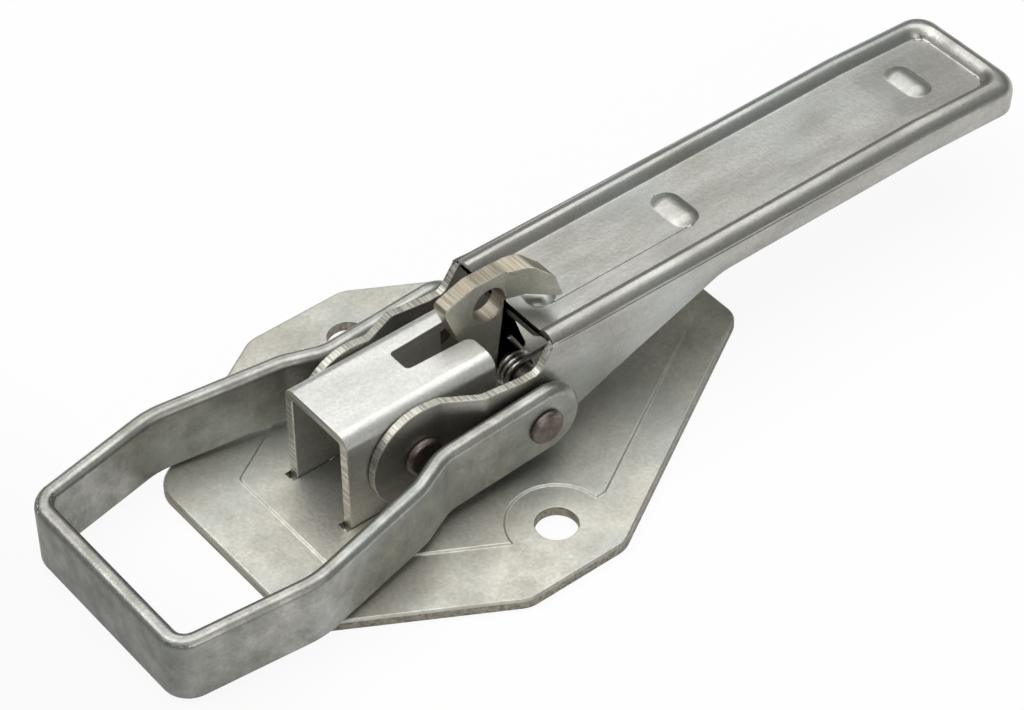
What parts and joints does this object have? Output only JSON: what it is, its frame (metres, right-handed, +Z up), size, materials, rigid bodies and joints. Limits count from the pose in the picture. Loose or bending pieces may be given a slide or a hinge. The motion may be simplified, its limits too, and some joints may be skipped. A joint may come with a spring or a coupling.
{
  "type": "toggle latch",
  "caption": "Over-centre toggle latch: pressed lever with a loop for the keeper, a padlockable spring catch, and a base plate that bolts down.",
  "frame": {"origin": "on the base plate's underside, midway between its two bolt holes", "axes": "+X along the closed lever to its free end, +Z up out of the base plate"},
  "size_m": [0.2326, 0.0954, 0.0399],
  "materials": {
    "zinc_sheet": "matte zinc-plated steel sheet",
    "zinc_folding": "satin zinc-plated folded steel",
    "zinc_pressing": "satin zinc-plated deep-drawn steel",
    "zinc_bar": "satin zinc-plated steel bar",
    "catch_steel": "dull plated thick steel sheet",
    "rivet_steel": "formed steel rivet, dull",
    "spring_wire": "bright spring wire"
  },
  "bodies": {
    "base": {"base_plate": "zinc_sheet", "bracket": "zinc_folding", "lever_pivot_rivet": "rivet_steel"},
    "lever": {"lever": "zinc_pressing", "catch_pin": "rivet_steel", "catch_spring": "spring_wire"},
    "loop_rivets": {"loop_rivet_left": "rivet_steel", "loop_rivet_right": "rivet_steel"},
    "loop": {"loop": "zinc_bar"},
    "catch": {"safety_catch": "catch_steel"}
  },
  "joints": [
    {"name": "lever_swing", "type": "hinge", "parent": "base", "child": "lever", "pos_m": [-0.0165, 0, 0.0152], "axis": [0, -1, 0], "range_deg": [0, 95]},
    {"name": "loop_rivet_turn", "type": "hinge", "parent": "lever", "child": "loop_rivets", "pos_m": [0.0083, 0, 0.0144], "axis": [0, -1, 0], "range_deg": [-95, 0]},
    {"name": "loop_swing", "type": "hinge", "parent": "loop_rivets", "child": "loop", "pos_m": [0.0083, 0, 0.0144], "axis": [0, 1, 0], "range_deg": [0, 60]},
    {"name": "catch_swing", "type": "hinge", "parent": "lever", "child": "catch", "pos_m": [0.0152, 0, 0.0122], "axis": [0, -1, 0], "range_deg": [0, 7], "stiffness_Nm_per_rad": 0.12, "springref_deg": -20.05}
  ],
  "couplings": [
    {"joint": "loop_rivet_turn", "follows": "lever_swing", "ratio": -1}
  ]
}
